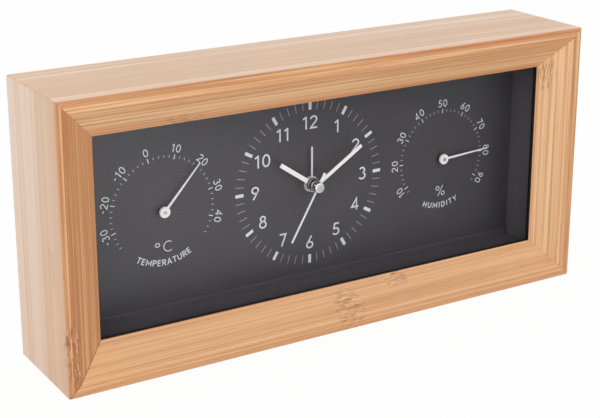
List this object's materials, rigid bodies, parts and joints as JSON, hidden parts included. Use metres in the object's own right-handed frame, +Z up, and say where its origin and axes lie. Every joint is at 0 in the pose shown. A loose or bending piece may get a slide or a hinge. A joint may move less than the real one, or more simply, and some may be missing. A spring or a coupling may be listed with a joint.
{
  "type": "thermometer hygrometer clock",
  "caption": "Table clock in a bevelled bamboo frame: alarm clock dial between a dial thermometer and a dial hygrometer, on one black dial behind flat glass.",
  "frame": {"origin": "middle of the base that the clock stands on", "axes": "+X to the viewer's right along the case, -Y out of the dial towards the viewer, +Z up"},
  "size_m": [0.255, 0.05, 0.12],
  "materials": {
    "bamboo": "clear satin lacquer",
    "black_edge": "matte",
    "glass": "clear float glass",
    "black_wall": "matte",
    "dial_black": "matte with white print",
    "pine_block": "plain",
    "back_board": "textured",
    "screw_steel": "plain",
    "movement_black": "fine texture",
    "bright_metal": "polished",
    "board_green": "solder mask",
    "crystal_can": "plain",
    "copper_coil": "enamelled wire",
    "iron_sheet": "plain",
    "ferrite": "plain",
    "buzzer_black": "plain",
    "cell_jacket": "printed sleeve, no words",
    "spring_steel": "nickel plated",
    "wheel_plastic": "moulded",
    "brass": "turned",
    "hand_white": "white paint",
    "hand_silver": "satin",
    "knob_black": "moulded",
    "switch_red": "moulded",
    "housing_white": "moulded",
    "bimetal": "rolled strip",
    "paper_strip": "coated strip"
  },
  "bodies": {
    "case": {"top_rail": "bamboo", "bottom_rail": "bamboo", "left_stile": "bamboo", "right_stile": "bamboo", "glass_seal": "black_edge", "front_glass": "glass", "surround_top": "black_wall", "surround_bottom": "black_wall", "surround_left": "black_wall", "surround_right": "black_wall", "dial_panel": "dial_black", "corner_blocks": "pine_block", "back_panel": "back_board", "back_panel_screws": "screw_steel", "movement_case": "movement_black", "movement_cover": "movement_black", "movement_screws": "screw_steel", "centre_ring": "bright_metal", "stator": "iron_sheet", "drive_coil": "copper_coil", "circuit_board": "board_green", "quartz_crystal": "crystal_can", "buzzer": "buzzer_black", "battery": "cell_jacket", "battery_contact_plus": "spring_steel", "battery_contact_minus": "spring_steel", "thermometer_housing": "housing_white", "hygrometer_housing": "housing_white", "thermometer_spiral": "bimetal", "hygrometer_spiral": "paper_strip", "pointer_bushes": "brass", "instrument_screws": "screw_steel"},
    "rotor": {"rotor": "ferrite"},
    "intermediate": {"intermediate_wheel": "wheel_plastic"},
    "seconds": {"seconds_wheel": "wheel_plastic", "seconds_hand": "hand_white", "seconds_cap": "bright_metal"},
    "third": {"third_wheel": "wheel_plastic"},
    "minute": {"minute_arbor": "brass", "centre_wheel": "wheel_plastic", "minute_hand": "hand_white"},
    "motion": {"motion_wheel": "wheel_plastic"},
    "hour": {"hour_wheel": "wheel_plastic", "hour_hand": "hand_white"},
    "time_setter": {"time_set_pinion": "wheel_plastic", "time_set_knob": "knob_black"},
    "alarm": {"alarm_wheel": "wheel_plastic", "alarm_hand": "hand_silver"},
    "alarm_setter": {"alarm_set_pinion": "wheel_plastic", "alarm_set_knob": "knob_black"},
    "switch": {"alarm_switch": "switch_red"},
    "thermometer": {"thermometer_staff": "brass", "thermometer_pointer": "hand_white"},
    "hygrometer": {"hygrometer_staff": "brass", "hygrometer_pointer": "hand_white"}
  },
  "joints": [
    {"name": "seconds_turn", "type": "hinge", "parent": "case", "child": "seconds", "pos_m": [0, 0, 0.0595], "axis": [0, 1, 0], "continuous": true},
    {"name": "intermediate_turn", "type": "hinge", "parent": "case", "child": "intermediate", "pos_m": [0.00509, 0, 0.05441], "axis": [0, 1, 0], "continuous": true},
    {"name": "rotor_turn", "type": "hinge", "parent": "case", "child": "rotor", "pos_m": [0.01198, 0, 0.05319], "axis": [0, 1, 0], "continuous": true},
    {"name": "third_turn", "type": "hinge", "parent": "case", "child": "third", "pos_m": [0, 0, 0.06868], "axis": [0, 1, 0], "continuous": true},
    {"name": "minute_turn", "type": "hinge", "parent": "case", "child": "minute", "pos_m": [0, 0, 0.0595], "axis": [0, 1, 0], "continuous": true},
    {"name": "motion_turn", "type": "hinge", "parent": "case", "child": "motion", "pos_m": [0.00693, 0, 0.0635], "axis": [0, 1, 0], "continuous": true},
    {"name": "hour_turn", "type": "hinge", "parent": "case", "child": "hour", "pos_m": [0, 0, 0.0595], "axis": [0, 1, 0], "continuous": true},
    {"name": "time_set_turn", "type": "hinge", "parent": "case", "child": "time_setter", "pos_m": [0.01493, 0, 0.0635], "axis": [0, 1, 0], "continuous": true},
    {"name": "alarm_set_turn", "type": "hinge", "parent": "case", "child": "alarm_setter", "pos_m": [-0.00966, 0, 0.06209], "axis": [0, 1, 0], "continuous": true},
    {"name": "alarm_turn", "type": "hinge", "parent": "case", "child": "alarm", "pos_m": [0, 0, 0.0595], "axis": [0, 1, 0], "continuous": true},
    {"name": "thermometer_turn", "type": "hinge", "parent": "case", "child": "thermometer", "pos_m": [-0.0714, 0, 0.0595], "axis": [0, 1, 0], "range_deg": [-165, 81], "stiffness_Nm_per_rad": 0.0005, "deforming": ["thermometer_spiral"]},
    {"name": "hygrometer_turn", "type": "hinge", "parent": "case", "child": "hygrometer", "pos_m": [0.0714, 0, 0.0595], "axis": [0, 1, 0], "range_deg": [-212.4, 39.6], "stiffness_Nm_per_rad": 0.0005, "deforming": ["hygrometer_spiral"]},
    {"name": "alarm_switch_slide", "type": "slide", "parent": "case", "child": "switch", "axis": [1, 0, 0], "range_m": [0, 0.005]}
  ],
  "couplings": [
    {"joint": "intermediate_turn", "follows": "seconds_turn", "ratio": -5},
    {"joint": "rotor_turn", "follows": "seconds_turn", "ratio": 30},
    {"joint": "third_turn", "follows": "seconds_turn", "ratio": -0.125},
    {"joint": "minute_turn", "follows": "seconds_turn", "ratio": 0.016667},
    {"joint": "motion_turn", "follows": "seconds_turn", "ratio": -0.0055556},
    {"joint": "hour_turn", "follows": "seconds_turn", "ratio": 0.0013889},
    {"joint": "time_set_turn", "follows": "seconds_turn", "ratio": 0.016667},
    {"joint": "alarm_turn", "follows": "alarm_set_turn", "ratio": -0.66667}
  ]
}
